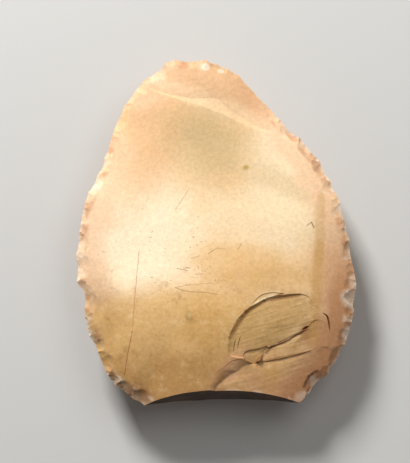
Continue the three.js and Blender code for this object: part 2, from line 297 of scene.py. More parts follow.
def bowlOn(height, side, place, heading, semiLong, semiWide, depth, seed):
    outward = facing(height, place, side)
    angle = math.radians(heading)
    inward = np.array([math.cos(angle), math.sin(angle), 0])
    inward -= inward @ outward * outward
    inward /= np.linalg.norm(inward)
    return bowl(on(height, place), inward, outward, semiLong, semiWide, depth, seed)


def edgePlace(bearing, inset=0.0):
    angle = math.radians(bearing)
    return middle + (reachAt(angle) - inset) * np.array([math.cos(angle), math.sin(angle)])


def turned(vector, axis, degrees):
    return np.array(Matrix.Rotation(math.radians(degrees), 3, Vector(axis)) @ Vector(vector))


def scarAt(start, edgeRun, inward, side, reach, width, depth, turn, seed, fine=0.7):
    # a scar struck from an edge point on to one face
    edgeRun = edgeRun / np.linalg.norm(edgeRun)
    inward = inward - inward @ edgeRun * edgeRun
    inward /= np.linalg.norm(inward)
    outward = np.cross(inward, edgeRun)
    outward /= np.linalg.norm(outward)
    if outward[2] * side < 0:
        outward = -outward
    inward = turned(inward, outward, turn)
    inset = scar["inset"] * reach
    return bowl(start + inset * inward, inward, outward, reach - inset, width / 2, depth, seed, fine)


def edgeScar(height, side, bearing, reach, width, depth, turn, seed):
    start = on(height, edgePlace(bearing))
    edgeRun = on(height, edgePlace(bearing + 2)) - on(height, edgePlace(bearing - 2))
    inward = on(height, edgePlace(bearing, reach)) - start
    return scarAt(start, edgeRun, inward, side, reach, width, depth, turn, seed)


# The struck butt is the side of a large round that leans out under the upper face
butt = {
    "radius": 120.0, "setback": 60.2, "centreX": 4.5, "lean": 15.0, "unevenness": 0.22, "height": 50,
    "halfSweep": 21, "finePoints": 130, "coarsePoints": 31,  # the finely cut stretch and the rest
}


def buttCutter():
    radius, lean = butt["radius"], math.radians(butt["lean"])
    axis = np.array([0, math.sin(lean), math.cos(lean)])
    towardsTip = np.cross(axis, [1.0, 0, 0])
    heart = np.array([butt["centreX"], -butt["setback"] - radius / math.cos(lean),
                      stone["edgeHeight"] + stone["faceRise"]])
    fine, sweep = butt["finePoints"], butt["halfSweep"]
    angle = np.radians(np.concatenate([
        np.linspace(90 - sweep, 90 + sweep, fine),
        np.linspace(120, 420, butt["coarsePoints"]),
    ]))
    rings = []
    for t in np.linspace(-2, butt["height"], 75):
        ring = heart + t * axis + radius * (
            np.cos(angle)[:, None] * np.array([1.0, 0, 0]) + np.sin(angle)[:, None] * towardsTip)
        rings.append(ring)
    rings = np.array(rings)
    rings[:, :fine, 1] += butt["unevenness"] * cloud(rings[:, :fine], 8, 3.3)
    return shell(heart - 3 * axis, rings, heart + (butt["height"] + 1) * axis)


# Scars on the upper face that start at the edge: bearing in degrees round the middle,
# then reach inward, width and depth in thousandths of the length, and turn
faceScarList = [
    (117, 45, 70, 10, 10), (108.4, 55, 56, 12, -8), (96.6, 27, 35, 5, 0), (92.8, 30, 23, 5, 0),
    (83.1, 27, 54, 3, 0), (73.8, 23, 50, 2, 0), (63.9, 23, 50, 2, 0), (55.9, 23, 31, 3, 0),
    (45.5, 38, 62, 3, 12), (32.6, 38, 62, 4, 0), (21.5, 23, 54, 2.5, 0), (6, 23, 60, 2.5, 0),
    (-5.7, 23, 54, 2, 0), (-13.7, 27, 50, 2.5, 0), (-23, 46, 46, 6, 0), (-28.5, 25, 54, 2.5, 0),
    (-35.5, 35, 62, 4, 0), (-43.7, 32, 62, 4.5, 0), (-50.7, 30, 50, 3, 0), (-55, 30, 48, 5, 5),
    (127, 23, 54, 2.5, 0), (136.8, 23, 50, 2.5, 0), (144.2, 23, 54, 3, 0), (152.6, 27, 60, 4, 0),
    (162.3, 23, 60, 2.5, 0), (171.7, 27, 62, 2.5, 0), (190, 50, 77, 5, -6), (203.9, 60, 75, 4.5, 0),
    (211.1, 38, 54, 4, 0), (216.6, 30, 38, 3.5, 0), (221.3, 35, 42, 4.5, 0), (224.9, 32, 38, 4.5, 0),
    (228.5, 35, 42, 4.5, 0), (232.3, 32, 38, 4.5, 0), (239.2, 38, 60, 3, 0),
]
# Flakes lifted off inside a line on the upper face, anticlockwise: each point across in
# half widths, along in lengths, then the depth there and the run of its wall in
# thousandths of the length.
# A floor with a sag above 1 only sinks close to its line. A hollow wall curves down
# inside the line, and any other rises outside it.
liftedFlakes = {
    "tipScar": {"sag": 2.0, "hollow": True, "rim": [
        (-0.5, 0.422, 3, 12), (-0.29, 0.386, 5, 28), (-0.114, 0.365, 5.5, 36), (0.064, 0.337, 5.5, 40),
        (0.2, 0.31, 4.5, 40), (0.33, 0.29, 3, 34), (0.46, 0.285, 1.2, 22), (0.6, 0.34, 1.2, 10),
        (0.44, 0.5, 3.4, 2), (0.05, 0.62, 3.4, 2), (-0.33, 0.62, 3.4, 2), (-0.62, 0.49, 2.8, 2),
    ]},
    "lowRight": {"sag": 2.5, "rim": [
        (0.0, -0.52, 12, 14), (0.3, -0.54, 8, 2), (0.62, -0.54, 5, 2), (0.86, -0.46, 0.8, 8),
        (0.88, -0.37, 0.4, 8), (0.756, -0.34, 1.2, 6), (0.656, -0.352, 4, 4), (0.535, -0.367, 7, 3),
        (0.414, -0.378, 9, 3), (0.292, -0.387, 9, 8), (0.214, -0.393, 7, 36), (0.157, -0.41, 7.5, 46),
        (0.107, -0.419, 8, 46), (0.043, -0.439, 7.5, 34), (-0.007, -0.463, 7, 22),
    ]},
    "secondStep": {"sag": 1.5, "rim": [
        (0.292, -0.4, 8, 1), (0.414, -0.39, 5.5, 1), (0.535, -0.378, 4, 1), (0.656, -0.363, 2, 1),
        (0.75, -0.347, 0.8, 4), (0.785, -0.32, 0.3, 8), (0.78, -0.288, 0.3, 8), (0.73, -0.266, 0.5, 4),
        (0.68, -0.268, 2, 1), (0.642, -0.288, 5.5, 1.5), (0.563, -0.306, 8, 1.5),
        (0.485, -0.326, 9, 1.5), (0.385, -0.34, 9.5, 1.5), (0.342, -0.349, 9.5, 1),
        (0.321, -0.37, 9.5, 1), (0.3, -0.385, 9, 1),
    ]},
    "bulbScar": {"hollow": True, "rim": [
        (0.1, -0.368, 3, 12), (0.17, -0.373, 3, 6), (0.25, -0.373, 4, 1), (0.33, -0.362, 5, 1),
        (0.385, -0.352, 5.5, 1), (0.485, -0.337, 5, 1), (0.563, -0.316, 4.5, 1), (0.642, -0.298, 3, 1),
        (0.685, -0.262, 0.4, 1), (0.688, -0.222, 0.4, 1), (0.656, -0.197, 1, 3), (0.586, -0.188, 3, 6),
        (0.478, -0.191, 5, 9), (0.376, -0.197, 6.5, 11), (0.289, -0.2145, 6.5, 13),
        (0.209, -0.2375, 6.5, 15), (0.143, -0.2665, 6, 18), (0.098, -0.305, 5, 22),
        (0.088, -0.34, 4, 20),
    ]},
    "cornerChip": {"hollow": True, "rim": [
        (0.799, -0.432, 5, 3), (0.742, -0.425, 8, 5), (0.696, -0.434, 10, 6), (0.665, -0.446, 11, 6),
        (0.64, -0.463, 11, 6), (0.628, -0.48, 10, 6), (0.628, -0.497, 8, 4), (0.678, -0.508, 6, 2),
        (0.742, -0.477, 7, 2), (0.813, -0.448, 6, 2),
    ]},
    "edgeChip": {"hollow": True, "rim": [
        (0.869, -0.382, 4, 2), (0.846, -0.384, 6, 4), (0.82, -0.393, 8, 5), (0.806, -0.404, 8, 5),
        (0.8, -0.418, 7, 4), (0.803, -0.43, 5, 2), (0.842, -0.431, 5, 2), (0.884, -0.407, 5, 2),
        (0.906, -0.387, 4, 2),
    ]},
    "sliver": {"rim": [
        (0.33, -0.212, 5, 1), (0.42, -0.195, 5, 1), (0.48, -0.189, 2, 1), (0.41, -0.186, 1.2, 1),
        (0.34, -0.19, 1.6, 1), (0.285, -0.204, 1.6, 1), (0.247, -0.228, 1, 1),
    ]},
    "hackle": {"rim": [
        (0.228, -0.384, 6, 1), (0.271, -0.3885, 9, 1), (0.314, -0.3725, 9, 1), (0.342, -0.355, 9, 1),
        (0.364, -0.339, 8, 1), (0.3, -0.345, 7.5, 1), (0.207, -0.355, 6, 1), (0.193, -0.3725, 4, 1),
    ]},
}
# Open cracks: points across and along, then width and depth in millimetres
cracks = [
    ([(0.749, -0.242), (0.785, -0.252), (0.799, -0.271), (0.806, -0.297)], 0.8, 0.7),
    ([(0.6, -0.294), (0.625, -0.288), (0.645, -0.284), (0.662, -0.281)], 1.4, 1.3),
    ([(0.122, -0.362), (0.128, -0.335), (0.15, -0.308)], 0.55, 1.15),
    ([(0.15, -0.352), (0.158, -0.33), (0.182, -0.302)], 0.5, 1.25),
]
underside = {
    "bigScars": 9,
    "big": {"place": 0.64, "reach": 0.22, "width": 0.165, "depth": 0.034},
    "smallScars": 38,
    "small": {"reach": 0.055, "width": 0.064, "depth": 0.0025},
}
# How finely a lifted flake is made and how uneven it is, in millimetres
flakeFinish = {
    "rimSpacing": 0.5,
    "floorSpacing": 0.7,
    "wallSpacing": 0.5,
    "wallCurve": 1.7,
    "rimWander": 0.16,
    "grainTurn": 18,  # degrees from across the stone
    "streakSize": (9, 0.9),
    "streakDepth": 0.045,
    "lip": 0.03,  # how far a cutter's rim stands clear of the face
}


def liftedFlake(rim, seed, sag=1.0, hollow=False):
    rim = np.array([[*inPlan(a, b), thousandth * depth, thousandth * run] for a, b, depth, run in rim])
    heart = rim.mean(0)
    around = np.linalg.norm(np.diff(rim[:, :2], axis=0), axis=1).sum() * 1.1
    count = int(np.clip(around / flakeFinish["rimSpacing"], 40, 200))
    line = smoothLine(rim, count, closed=True)[:-1]
    line[:, 2:] = np.maximum(line[:, 2:], [0.02, 0.1])
    out = line[:, :2] - heart[:2]
    outLength = np.linalg.norm(out, axis=1)[:, None]
    out /= outLength
    wander = cloud(np.column_stack([line[:, :2], 0 * line[:, 0]]), 2.2, seed)
    line[:, :2] += flakeFinish["rimWander"] * wander[:, None] * out
    foot = line[:, :2] - hollow * line[:, 3:] * out
    grain = math.radians(flakeFinish["grainTurn"])
    streakLength, streakWidth = flakeFinish["streakSize"]
    rings = []
    count = int(np.clip(outLength.max() / flakeFinish["floorSpacing"], 6, 28))
    for share in np.linspace(0, 1, count)[1:]:
        spot = heart[:2] + share * (foot - heart[:2])
        alongGrain = spot[:, 0] * math.cos(grain) + spot[:, 1] * math.sin(grain)
        acrossGrain = -spot[:, 0] * math.sin(grain) + spot[:, 1] * math.cos(grain)
        stretched = [alongGrain / streakLength, acrossGrain / streakWidth, 0 * alongGrain]
        streak = cloud(np.column_stack(stretched), 1, seed)
        streak += 0.6 * cloud(np.column_stack([spot, 0 * alongGrain]), 2.3, seed + 5)
        deep = heart[2] + (line[:, 2] - heart[2]) * share**sag
        ring = on(faceZ, spot)
        ring[:, 2] -= deep - flakeFinish["streakDepth"] * streak * np.minimum(1, deep / 0.3)
        rings.append(ring)
    steps = int(np.clip(line[:, 3].max() / flakeFinish["wallSpacing"], 5, 12))
    for t in np.linspace(0, 1, steps + 1)[1:]:
        ring = on(faceZ, foot + t * line[:, 3:] * out)
        left = 1 - t**2 if hollow else (1 - t) ** flakeFinish["wallCurve"]
        ring[:, 2] -= line[:, 2] * left - flakeFinish["lip"] * (t == 1)
        rings.append(ring)
    clear = 0.03 * length
    lid = rings[-1] + [0, 0, clear]
    bottom = on(faceZ, heart[:2]) - [0, 0, heart[2]]
    return shell(bottom, [*rings, lid], on(faceZ, heart[:2]) + [0, 0, clear])


def crack(points, width, depth):
    # a groove that is widest in the middle and runs out at both ends
    line = smoothLine([inPlan(*p) for p in points], 26)
    lip, clear = np.array([0, 0, flakeFinish["lip"]]), np.array([0, 0, 1.2])
    run = np.gradient(line, axis=0)
    sideways = np.column_stack([-run[:, 1], run[:, 0]]) / np.linalg.norm(run, axis=1)[:, None]
    rings = []
    for k in range(1, len(line) - 1):
        fullness = math.sin(math.pi * k / (len(line) - 1)) ** 0.7
        half = 0.5 * width * fullness * (1 + 0.35 * noise.noise(Vector((*line[k], 7.7))))
        left, right = line[k] + half * sideways[k], line[k] - half * sideways[k]
        floor = on(faceZ, line[k]) - [0, 0, depth * fullness]
        left, right = on(faceZ, left), on(faceZ, right)
        rings.append([floor, left + lip, left + clear, right + clear, right + lip])
    return shell(on(faceZ, line[0]) + [0, 0, 0.3], rings, on(faceZ, line[-1]) + [0, 0, 0.3])


def sized(scale, kind):
    return [kind[part] * scale for part in ("reach", "width", "depth")]


def mainCuts():
    cuts = [buttCutter()]
    cuts += [liftedFlake(**flake, seed=i + 0.5) for i, flake in enumerate(liftedFlakes.values())]
    cuts += [crack(*one) for one in cracks]
    big, small = underside["big"], underside["small"]
    for i in range(underside["bigScars"]):
        bearing = 360 / underside["bigScars"] * (i + 0.5 * vary(i, 1))
        size = length * (0.85 + 0.3 * vary(i, 2))
        place = middle + big["place"] * (edgePlace(bearing) - middle)
        heading = bearing + 180 + 40 * vary(i, 3) - 20
        cuts.append(bowlOn(bellyZ, -1, place, heading, *sized(size, big), vary(i, 7)))
    for i in range(underside["smallScars"]):
        bearing = 360 / underside["smallScars"] * (i + 0.6 * vary(i, 4))
        size = length * (0.7 + 0.6 * vary(i, 5))
        turn = 40 * vary(i, 6) - 20
        cuts.append(edgeScar(bellyZ, -1, bearing, *sized(size, small), turn, vary(i, 8)))
    for i, (bearing, reach, width, depth, turn) in enumerate(faceScarList):
        size = reach * thousandth, width * thousandth, depth * thousandth
        cuts.append(edgeScar(faceZ, 1, bearing, *size, turn, vary(i, 9)))
    return cuts


# Chips along the edge that is left: spacing, reach, width and depth in millimetres
chipRows = [
    {"side": 1, "spacing": 5.3, "reach": 4.2, "width": 6.4, "depth": 0.36, "seed": 10},
    {"side": 1, "spacing": 3.1, "reach": 2.4, "width": 3.8, "depth": 0.2, "seed": 11},
    {"side": -1, "spacing": 3.0, "reach": 2.6, "width": 3.8, "depth": 0.13, "seed": 12},
    {"side": 1, "spacing": 1.7, "reach": 1.0, "width": 2.0, "depth": 0.12, "seed": 13},
]
# The edge is battered most beside the left end of the butt: from and up to how far
# down it deepens, and by how much. The rim of the butt itself has no chips.
battered = {"from": 25, "full": 40, "extra": 0.5}
buttRim = {"top": -54, "middleX": 3, "halfWidth": 33}


def newPiece(name, points, faces):
    mesh = bpy.data.meshes.new(name)
    mesh.from_pydata(np.asarray(points).tolist(), [], np.asarray(faces).tolist())
    mesh.update()
    piece = bpy.data.objects.new(name, mesh)
    bpy.context.scene.collection.objects.link(piece)
    return piece


def inSets(cuts):
    # cutters that keep clear of each other go together, so that few cuts are needed
    sets = []
    for points, faces in cuts:
        low, high = points.min(0) - 0.05, points.max(0) + 0.05
        for one in sets:
            if not any(np.all(low < h) and np.all(high > l) for l, h in one["boxes"]):
                break
        else:
            one = {"boxes": [], "points": [], "faces": [], "count": 0}
            sets.append(one)
        one["boxes"].append((low, high))
        one["points"].append(points)
        one["faces"].append(faces + one["count"])
        one["count"] += len(points)
    return [(np.vstack(s["points"]), np.vstack(s["faces"])) for s in sets]


def carve(piece, cuts):
    # takes every cutter off the piece
    for points, faces in inSets(cuts):
        tool = newPiece("tool", points, faces)
        cut = piece.modifiers.new("cut", "BOOLEAN")
        cut.operation = "DIFFERENCE"
        cut.solver = "MANIFOLD"
        cut.object = tool
        graph = bpy.context.evaluated_depsgraph_get()
        carved = bpy.data.meshes.new_from_object(piece.evaluated_get(graph))
        piece.modifiers.clear()
        spent = piece.data
        piece.data = carved
        bpy.data.meshes.remove(spent)
        bpy.data.objects.remove(tool)


def meshPoints(mesh):
    points = np.zeros(len(mesh.vertices) * 3)
    mesh.vertices.foreach_get("co", points)
    return points.reshape(-1, 3)


def presentEdge(points, bins=300, notch=0.9):
    # the outermost point in each direction round the middle, without those that only
    # show where a direction has no point of the edge itself: they lie a notch further in
    away = points[:, :2] - middle
    reach = np.linalg.norm(away, axis=1)
    slot = ((np.arctan2(away[:, 1], away[:, 0]) / (2 * math.pi)) % 1 * bins).astype(int) % bins
    order = np.argsort(reach)
    best = np.full(bins, -1)
    best[slot[order]] = order
    best = best[best >= 0]
    around = np.max([np.roll(reach[best], k) for k in (-2, -1, 0, 1, 2)], axis=0)
    return points[best[reach[best] > around - notch]]


def edgeChips(piece, row):
    edge = presentEdge(meshPoints(piece.data))
    graph = bpy.context.evaluated_depsgraph_get()
    tree = BVHTree.FromObject(piece, graph)
    gone = np.concatenate([[0], np.cumsum(np.linalg.norm(np.diff(edge, axis=0), axis=1))])
    count = int(gone[-1] / row["spacing"])
    chips = []
    for i in range(count):
        at = gone[-1] * (i + 0.9 * vary(i * i, row["seed"])) / count
        k = int(np.searchsorted(gone, at)) % len(edge)
        start = edge[k]
        edgeRun = edge[(k + 2) % len(edge)] - edge[k - 2]
        edgeRun[2] = 0
        edgeRun /= np.linalg.norm(edgeRun)
        inPlane = np.array([-edgeRun[1], edgeRun[0], 0])
        size = 0.55 + 0.9 * vary(i, row["seed"] + 0.37)
        down = smoothStep(-start[1], battered["from"], battered["full"])
        worn = 1 + battered["extra"] * float(down * (start[0] < 0))
        probe = start + 0.6 * row["reach"] * size * inPlane
        above = Vector((probe[0], probe[1], 60.0 * row["side"]))
        hit = tree.ray_cast(above, Vector((0, 0, -row["side"])))
        if hit[0] is None:
            continue
        inward = np.array(hit[0]) - start
        if start[1] < buttRim["top"] and abs(start[0] - buttRim["middleX"]) < buttRim["halfWidth"]:
            continue
        turn = 50 * vary(i, row["seed"] + 0.71) - 25
        reach, width, depth = sized(size, row)
        chips.append(scarAt(start, edgeRun, inward, row["side"], reach, width, depth * worn, turn,
                            vary(i, row["seed"] + 0.13), fine=0.6))
    return chips


def keepLargest(piece):
    # the cuts can leave crumbs, which go
    mesh = bmesh.new()
    mesh.from_mesh(piece.data)
    left, parts = set(mesh.verts), []
    while left:
        part = [left.pop()]
        for vertex in part:  # grows as it is walked
            for link in vertex.link_edges:
                other = link.other_vert(vertex)
                if other in left:
                    left.remove(other)
                    part.append(other)
        parts.append(part)
    parts.sort(key=len)
    for part in parts[:-1]:
        bmesh.ops.delete(mesh, geom=part, context="VERTS")
    mesh.to_mesh(piece.data)
    mesh.free()
    print("crumbs taken off", len(parts) - 1)


def markMargin(piece, points):
    # how far each point is from the outline seen from above, in metres
    edge = presentEdge(points)[:, :2]
    lookup = KDTree(len(edge))
    for i, (x, y) in enumerate(edge):
        lookup.insert((x, y, 0), i)
    lookup.balance()
    inset = np.array([lookup.find((x, y, 0))[2] for x, y, _ in points.tolist()])
    margin = piece.data.attributes.new("margin", "FLOAT", "POINT")
    margin.data.foreach_set("value", inset * 0.001)


def buildAxe():
    axe = newPiece("hand_axe_stone", *blank())
    report("blank")
    carve(axe, mainCuts())
    report("main scars")
    for row in chipRows:
        carve(axe, edgeChips(axe, row))
    report("edge chips")
    keepLargest(axe)
    points = meshPoints(axe.data)
    markMargin(axe, points)
    low, high = points.min(0), points.max(0)
    points -= [(low[0] + high[0]) / 2, (low[1] + high[1]) / 2, low[2]]
    axe.data.vertices.foreach_set("co", (points * 0.001).ravel())
    for polygon in axe.data.polygons:
        polygon.use_smooth = True
    axe.data.set_sharp_from_angle(angle=math.radians(stone["sharpAngle"]))
    axe.data.update()
    print("triangles", sum(len(p.vertices) - 2 for p in axe.data.polygons), "size", high - low)
    report("mesh")
    return axe


# What the weathered surface looks like, with painted shade on the butt and in creases. Colours are as
# seen on a screen, 0 to 255;
# places and sizes are in millimetres from the middle of the stone.
patinaAndShade = {
    "base": (236, 198, 150),
    "blotDark": (166, 122, 62),
    "blotPale": (240, 206, 156),
    "blotStrength": 0.5,
    # painted shade on the struck butt, dark brown as if in shadow
    "buttShadeDark": (50, 34, 25),
    "buttShadeLight": (86, 62, 45),
    "buttShadeStrength": 0.96,
    "freshBreak": (236, 218, 200),
    "freshStrength": 0.6,
    "grainContrast": 0.12,
    "roughness": (0.5, 0.66),
    "specular": 0.4,
    "bump": 0.35,
    "bumpHeight": 0.2,
    "creaseShadeReach": 1.2,
    # each layer: colour and strength
    "mottle": ((206, 156, 98), 0.3),
    "pinkRight": ((236, 194, 156), 0.75),
    "brownRight": ((188, 130, 84), 0.8),
    "pinkLeft": ((240, 195, 158), 0.6),
    "greyLeft": ((186, 158, 130), 0.7),
    "rimStain": ((188, 132, 92), 0.55),
    "rimPale": ((248, 222, 196), 0.6),
    "underside": ((204, 160, 114), 0.7),
    "rind": ((226, 208, 180), 0.85),
    "specks": ((128, 92, 58), 0.55),
    "streaks": ((128, 92, 50), 0.2),
    # painted shade in creases and hollows
    "creaseShade": ((124, 70, 26), 0.7),
    # each area: middle, half sizes, turn in degrees, raggedness and softness
    "speckArea": ((-14, -12), (40, 28), 0, 0.5, 0.7),
    "streakArea": ((21, -37.5), (20, 9.5), 34, 0.1, 0.2),
}
# Each patch: middle, half sizes, turn in degrees, colour, strength, raggedness, softness
patches = {
    # partly pale patina, partly painted highlight where the face swells towards the light
    "paleAndLitLeft": ((-30, -4), (25, 26), 20, (253, 232, 200), 0.9, 0.3, 0.6),
    "paleRight": ((19, 4), (22, 13), 0, (244, 222, 184), 0.65, 0.4, 0.5),
    "paleHigh": ((25, 30), (15, 13), 40, (244, 224, 192), 0.65, 0.4, 0.5),
    "upperLeft": ((-25, 35), (12, 30), -24, (228, 180, 132), 0.65, 0.35, 0.5),
    "tipGlow": ((-1, 56), (26, 11), -24, (207, 164, 123), 0.85, 0.3, 0.4),
    # painted highlight: a pale band along the tip scar's lower wall, which faces the light
    "tipLitBand": ((0, 47.5), (24, 3.4), -22, (246, 212, 172), 0.6, 0.3, 0.7),
    "tipRight": ((15, 48), (3, 10), 38, (208, 156, 114), 0.35, 0.4, 0.6),
    "tipFacet": ((-22.2, 58.6), (2.6, 3.6), -30, (232, 188, 162), 0.7, 0.3, 0.3),
    "edgeLeftMid": ((-28.5, 47), (5, 8), -34, (206, 162, 118), 0.6, 0.2, 0.9),
    "rightLow": ((41, -22), (5, 16), 4, (204, 152, 108), 0.6, 0.3, 0.6),
    "edgeLeftHigh": ((-26.5, 53), (2.6, 6), -42, (196, 142, 98), 0.6, 0.5, 0.6),
    "paleFar": ((30, 12), (10, 18), -14, (250, 226, 188), 0.55, 0.3, 0.6),
    "green": ((-2, 33), (17, 13), -35, (196, 171, 124), 0.72, 0.3, 0.8),
    "greenTail": ((26, 17), (14, 4), -28, (210, 186, 142), 0.55, 0.5, 0.6),
    "leftShade": ((-42, -36), (7.5, 19), 12, (190, 153, 112), 0.9, 0.4, 0.6),
    "leftStrip": ((-40.5, -53), (3.6, 11), 28, (220, 188, 158), 0.7, 0.5, 0.5),
    "ochreCentre": ((8, -13), (17, 7), -6, (222, 178, 116), 0.65, 0.7, 0.5),
    # partly ochre stain, partly painted shade: the lower face darkens where the bulb's lower slope
    # turns from the light
    "ochreArchAndShade": ((-14, -47), (44, 25), 4, (222, 177, 112), 0.85, 0.14, 0.22),
    "aboveScar": ((20, -19), (20, 5), 4, (214, 170, 108), 0.65, 0.5, 0.5),
    # partly ochre stain, partly painted shade towards the butt
    "ochreButtAndShade": ((-10, -59), (42, 12), -2, (192, 144, 86), 0.8, 0.5, 0.5),
    "ochreMid": ((-4, -36), (10, 8), 20, (206, 158, 88), 0.5, 0.8, 0.6),
    "bulbFloor": ((19.5, -35.5), (19, 8.5), 34, (199, 160, 102), 0.9, 0.15, 0.25),
    # painted highlight: the narrow sliver by the scar's rim, pale where it faces the light
    "sliver": ((18.4, -26.4), (5.4, 0.7), 27, (250, 222, 176), 0.95, 0.02, 0.4),
    "secondStep": ((30, -44), (14, 3.2), 15, (214, 172, 120), 0.7, 0.15, 0.4),
    "lowRight": ((24, -55), (26, 9), 12, (214, 168, 116), 0.8, 0.3, 0.4),
    # painted highlight: a thin pale band beside the valley line, where the slope faces the light
    "lowRightHighlight": ((4.5, -56), (5, 2), 42, (228, 184, 140), 0.7, 0.2, 0.6),
    "yellow": ((20, -57), (3.5, 5), 0, (208, 160, 74), 0.6, 0.8, 0.7),
    "lensStain": ((36.5, -38), (6, 4), 30, (164, 106, 46), 0.75, 0.6, 0.6),
    # partly pinkish-brown colour, partly painted shade on the valley slope that faces away from the
    # light
    "valleyShade": ((5.5, -51.5), (8.5, 3.4), 48, (206, 154, 114), 0.75, 0.3, 0.6),
    "cornerLeft": ((-30, -63), (10, 4), -24, (164, 112, 72), 0.75, 0.6, 0.6),
    "dotOlive": ((11.2, 23.6), (1.2, 0.9), 20, (178, 146, 66), 0.85, 0.3, 0.5),
    "dotTip": ((-29.6, 50), (1.6, 0.9), 35, (150, 112, 56), 0.8, 0.6, 0.6),
    "pitRing": ((-10.2, -33.4), (1.2, 2.1), 8, (158, 124, 62), 0.5, 1, 0.6),
    "pitHeart": ((-10, -32.8), (0.6, 1), 8, (224, 196, 146), 0.6, 0.6, 0.6),
}
# Each line: start, end, width, waviness, colour, strength
lines = {
    "ochreBandHigh": ((39.5, 12), (38.5, -12), 2.6, 2.4, (206, 164, 106), 0.5),
    "ochreBand": ((38.5, -6), (36.5, -42), 3, 2.4, (200, 154, 88), 0.55),
    "hairlineTop": ((-29, -8.5), (-31.4, -38.7), 0.26, 0.8, (190, 114, 76), 0.6),
    "hairlineLow": ((-31.4, -38.7), (-34.4, -54.6), 0.3, 0.8, (164, 92, 58), 0.7),
    "scratch": ((-10, 15.7), (-15.2, 7.4), 0.22, 0.3, (190, 146, 100), 0.6),
    "slitA": ((-3, -9.7), (0.3, -7.4), 0.26, 1, (120, 88, 54), 0.55),
    "slitAEnd": ((0.3, -7.4), (3.4, -7.7), 0.3, 1, (150, 116, 70), 0.4),
    "slitB": ((-9.5, -11.4), (-6.3, -10.4), 0.24, 1, (138, 104, 66), 0.45),
    "dash": ((-11.3, -14.8), (-9.5, -15), 0.3, 0.5, (120, 86, 56), 0.6),
    "slitC": ((-14.6, -15.1), (-10.6, -16), 0.26, 0.8, (128, 92, 60), 0.55),
    "dots": ((-7.8, -17.4), (-5.6, -17.3), 0.4, 1.5, (150, 110, 66), 0.5),
    "slitD": ((-15.2, -22.4), (-9.6, -21.2), 0.24, 0.8, (130, 94, 58), 0.45),
    "slitDEnd": ((-9.6, -21.2), (-1.9, -20.7), 0.22, 1.2, (150, 112, 66), 0.4),
    "slitE": ((-15.2, -22.4), (-12.6, -23.4), 0.26, 0.5, (124, 90, 56), 0.55),
    "slitEEnd": ((-12.6, -23.4), (0.5, -25), 0.26, 1.2, (120, 86, 52), 0.5),
    "mark": ((8.2, -7.7), (9.3, -5.8), 0.4, 0.6, (170, 130, 74), 0.5),
    # painted shadow: soft brown lines inside the upper rim of the scar by the bulb, where its wall
    # shades the floor
    "arcShadowLow": ((5, -41), (11.2, -31.2), 1.1, 0.6, (150, 96, 42), 0.6),
    "arcShadowMid": ((11.2, -31.2), (18, -27.2), 1, 0.4, (146, 92, 40), 0.65),
    "arcShadowHigh": ((18, -27.2), (31, -25), 0.9, 0.4, (140, 88, 40), 0.65),
    # painted shadow: dark lines below the steps that face away from the light
    "hingeShadowLow": ((17.2, -48), (20.6, -44.4), 0.8, 0.4, (120, 74, 34), 0.6),
    "hingeShadow": ((20.6, -44.4), (34, -37.6), 0.8, 0.4, (116, 70, 34), 0.65),
    "stepShadow": ((15.6, -50.2), (35, -46), 0.8, 0.8, (136, 86, 40), 0.55),
    # painted shadow: brown lines along the upper rims of the two chips at the lower right
    "chipShadowLow": ((33, -59), (34.6, -55.2), 0.8, 0.4, (112, 66, 36), 0.6),
    "chipShadow": ((34.6, -55.2), (37.8, -53.1), 0.8, 0.4, (112, 66, 36), 0.6),
    "chipShadowHigh": ((42.7, -55.6), (43.2, -52), 0.8, 0.4, (170, 98, 48), 0.6),
    "chipShadowTop": ((43.2, -52), (46.2, -49.8), 0.8, 0.4, (150, 90, 48), 0.6),
    "caretLeft": ((34.2, 1.4), (36, 2.6), 0.3, 0.3, (120, 86, 56), 0.55),
    "caretRight": ((36, 2.6), (36.8, 0.6), 0.36, 0.3, (84, 56, 36), 0.7),
}
# Breaks too young to be stained: middle, half sizes and turn in degrees
freshBreaks = {
    "rightNotch": ((51.5, -25.5), (4.6, 3.2), 0),
    "lowRightChip": ((36.8, -60.2), (4.6, 1.3), 52),
    "rightLow": ((44.8, -52.7), (3.6, 1.3), 60),
    "rightHigh": ((49.5, -40), (2, 4), 0),
    "tipChip": ((-4, 63), (1.7, 1.6), 0),
    "tipNick": ((1.8, 61.4), (1.2, 0.8), 0),
}


def linear(colour):
    channels = [c / 255 for c in colour]
    return tuple(c / 12.92 if c <= 0.04045 else ((c + 0.055) / 1.055) ** 2.4 for c in channels) + (1.0,)


def metres(values):
    return tuple(v * 0.001 for v in (*values, 0)[:3])


def put(node, socket, value):
    # links a socket or sets a constant
    target = node.inputs[socket]
    if isinstance(value, bpy.types.NodeSocket):
        node.id_data.links.new(value, target)
    else:
        target.default_value = value


# Each noise: lumps for every metre (for every millimetre in the first four), detail,
# roughness and distortion
noises = {
    "mottle": (0.045, 7, 0.66, 0.5),
    "grain": (0.75, 3, 0.7),
    "specks": (1.1, 1),
    "speckAreas": (0.08,),
    "patchRims": (110, 4, 0.6),
    "lineBreaks": (420,),
    "blots": (210, 6, 0.72),
    "uneven": (90, 4, 0.6),
    "rimScars": (170, 1, 0.4),
    "buttClouds": (160, 5, 0.7),
    "freshEdge": (240,),
    "streaks": (900, 3, 0.6, 0.6),
    "pores": (900, 4, 0.8),
}
